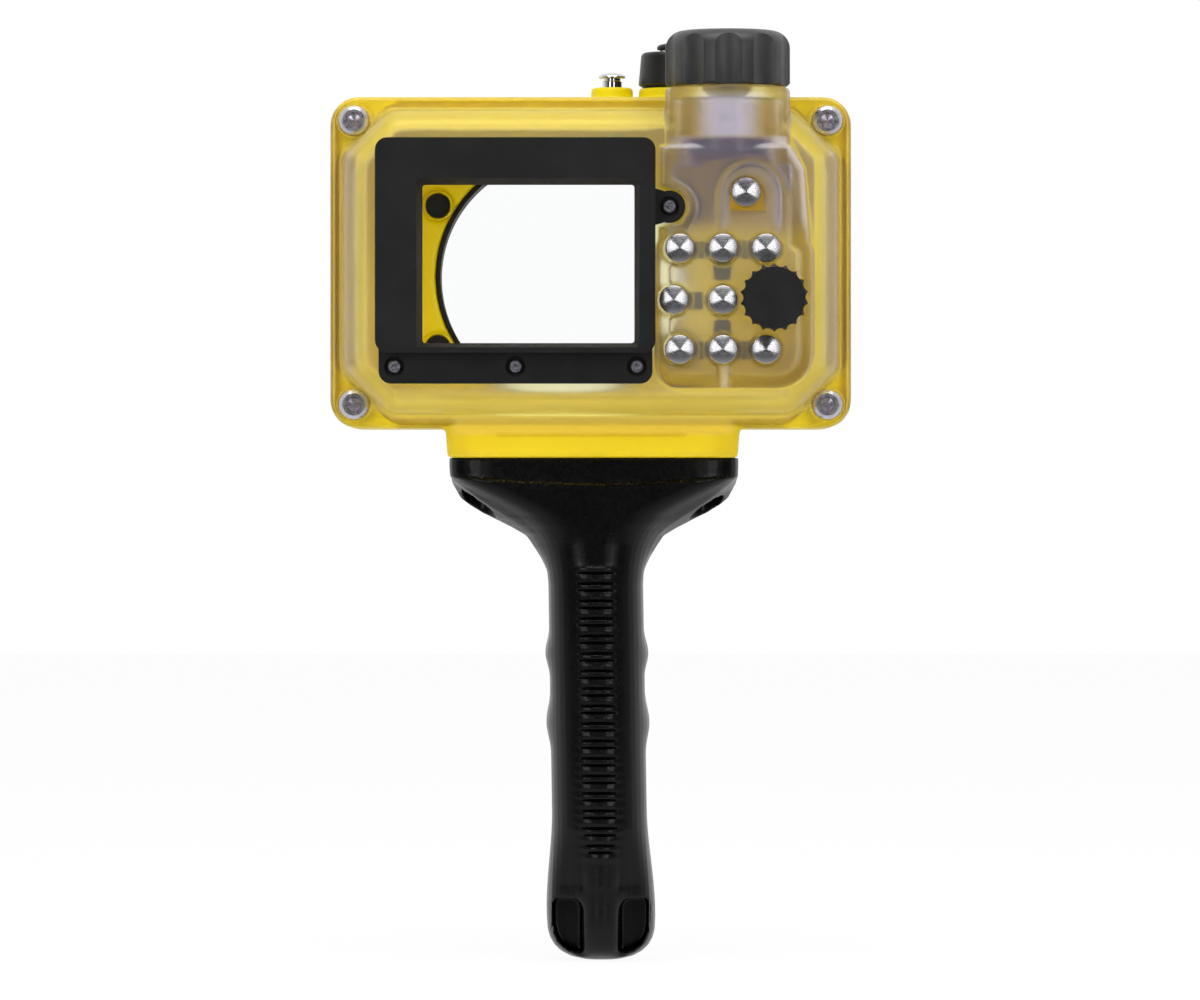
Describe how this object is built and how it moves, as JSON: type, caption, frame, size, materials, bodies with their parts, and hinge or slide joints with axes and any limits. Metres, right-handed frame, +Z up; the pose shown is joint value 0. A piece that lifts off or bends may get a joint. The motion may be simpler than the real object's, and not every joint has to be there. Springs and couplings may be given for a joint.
{
  "type": "underwater camera housing",
  "caption": "Box-shaped watertight housing for a compact camera: clear-backed rear cover with push buttons, top knobs, a round lens port and a pistol grip.",
  "frame": {"origin": "centre of the lens port's mouth, on the lens axis", "axes": "+X to the right as the user sees it from behind, +Y along the lens axis out of the port, +Z up"},
  "size_m": [0.1485, 0.0892, 0.2651],
  "materials": {
    "shell_yellow": "satin moulded plastic",
    "cover_frosted": "frosted clear polycarbonate",
    "window_clear": "polished clear acrylic",
    "port_glass": "polished glass",
    "port_black": "machined black acetal",
    "moulded_black": "moulded black plastic",
    "hood_black": "satin black plastic",
    "knob_black": "fine grained black plastic",
    "grip_black": "satin glass filled plastic",
    "turned_steel": "lathe faced stainless steel",
    "polished_steel": "polished stainless steel",
    "stainless": "stainless steel",
    "brass": "turned brass",
    "seal_rubber": "soft nitrile rubber"
  },
  "bodies": {
    "shell": {"front_shell": "shell_yellow", "cover_inserts": "brass", "main_seal": "seal_rubber", "port_ring": "port_black", "port_retainer": "port_black", "port_glass": "port_glass", "port_seal": "seal_rubber", "port_screws": "stainless", "port_inserts": "moulded_black", "handle": "grip_black", "handle_screws": "stainless", "handle_inserts": "brass", "shell_seals": "seal_rubber", "power_spring": "stainless"},
    "cover": {"rear_cover": "cover_frosted", "cover_screws": "stainless", "cover_seals": "seal_rubber", "lcd_window": "window_clear", "lcd_hood": "hood_black", "hood_screws": "stainless", "spring_upper_left": "stainless", "spring_upper_middle": "stainless", "spring_upper_right": "stainless", "spring_middle_left": "stainless", "spring_middle": "stainless", "spring_lower_left": "stainless", "spring_lower_middle": "stainless", "spring_lower_right": "stainless", "spring_tower": "stainless"},
    "zoom": {"zoom_knob": "knob_black", "zoom_shaft": "stainless", "shutter_spring": "stainless"},
    "shutter": {"shutter_cap": "knob_black", "shutter_stem": "polished_steel"},
    "power": {"power_button": "polished_steel"},
    "mode": {"mode_knob": "knob_black", "mode_shaft": "stainless", "mode_cup": "moulded_black"},
    "thumb": {"thumb_knob": "knob_black", "thumb_shaft": "stainless", "thumb_roller": "seal_rubber"},
    "key_upper_left": {"button_upper_left": "turned_steel", "arm_upper_left": "moulded_black"},
    "key_upper_middle": {"button_upper_middle": "turned_steel", "arm_upper_middle": "moulded_black"},
    "key_upper_right": {"button_upper_right": "turned_steel", "arm_upper_right": "moulded_black"},
    "key_middle_left": {"button_middle_left": "turned_steel", "arm_middle_left": "moulded_black"},
    "key_middle": {"button_middle": "turned_steel"},
    "key_lower_left": {"button_lower_left": "turned_steel", "arm_lower_left": "moulded_black"},
    "key_lower_middle": {"button_lower_middle": "turned_steel", "arm_lower_middle": "moulded_black"},
    "key_lower_right": {"button_lower_right": "turned_steel", "arm_lower_right": "moulded_black"},
    "key_tower": {"button_tower": "turned_steel"}
  },
  "joints": [
    {"name": "cover_slide", "type": "slide", "parent": "shell", "child": "cover", "axis": [0, -1, 0], "range_m": [0, 0.06]},
    {"name": "press_upper_left", "type": "slide", "parent": "cover", "child": "key_upper_left", "axis": [0, 1, 0], "range_m": [0, 0.002], "stiffness_N_per_m": 600, "springref_m": -0.0015, "deforming": ["spring_upper_left"]},
    {"name": "press_upper_middle", "type": "slide", "parent": "cover", "child": "key_upper_middle", "axis": [0, 1, 0], "range_m": [0, 0.002], "stiffness_N_per_m": 600, "springref_m": -0.0015, "deforming": ["spring_upper_middle"]},
    {"name": "press_upper_right", "type": "slide", "parent": "cover", "child": "key_upper_right", "axis": [0, 1, 0], "range_m": [0, 0.002], "stiffness_N_per_m": 600, "springref_m": -0.0015, "deforming": ["spring_upper_right"]},
    {"name": "press_middle_left", "type": "slide", "parent": "cover", "child": "key_middle_left", "axis": [0, 1, 0], "range_m": [0, 0.002], "stiffness_N_per_m": 600, "springref_m": -0.0015, "deforming": ["spring_middle_left"]},
    {"name": "press_middle", "type": "slide", "parent": "cover", "child": "key_middle", "axis": [0, 1, 0], "range_m": [0, 0.002], "stiffness_N_per_m": 600, "springref_m": -0.0015, "deforming": ["spring_middle"]},
    {"name": "press_lower_left", "type": "slide", "parent": "cover", "child": "key_lower_left", "axis": [0, 1, 0], "range_m": [0, 0.002], "stiffness_N_per_m": 600, "springref_m": -0.0015, "deforming": ["spring_lower_left"]},
    {"name": "press_lower_middle", "type": "slide", "parent": "cover", "child": "key_lower_middle", "axis": [0, 1, 0], "range_m": [0, 0.002], "stiffness_N_per_m": 600, "springref_m": -0.0015, "deforming": ["spring_lower_middle"]},
    {"name": "press_lower_right", "type": "slide", "parent": "cover", "child": "key_lower_right", "axis": [0, 1, 0], "range_m": [0, 0.002], "stiffness_N_per_m": 600, "springref_m": -0.0015, "deforming": ["spring_lower_right"]},
    {"name": "press_tower", "type": "slide", "parent": "cover", "child": "key_tower", "axis": [0, 1, 0], "range_m": [0, 0.002], "stiffness_N_per_m": 600, "springref_m": -0.0015, "deforming": ["spring_tower"]},
    {"name": "thumb_spin", "type": "hinge", "parent": "cover", "child": "thumb", "pos_m": [0.0605, -0.08, -0.0079], "axis": [0, 1, 0], "continuous": true},
    {"name": "mode_spin", "type": "hinge", "parent": "cover", "child": "mode", "pos_m": [0.0476, -0.0715, 0.06], "axis": [0, 0, 1], "continuous": true},
    {"name": "zoom_turn", "type": "hinge", "parent": "shell", "child": "zoom", "pos_m": [0.0324, -0.0415, 0.055], "axis": [0, 0, 1], "range_deg": [-28, 28]},
    {"name": "shutter_press", "type": "slide", "parent": "zoom", "child": "shutter", "axis": [0, 0, -1], "range_m": [0, 0.002], "stiffness_N_per_m": 500, "springref_m": -0.001, "deforming": ["shutter_spring"]},
    {"name": "power_press", "type": "slide", "parent": "shell", "child": "power", "axis": [0, 0, -1], "range_m": [0, 0.002], "stiffness_N_per_m": 500, "springref_m": -0.001, "deforming": ["power_spring"]}
  ]
}
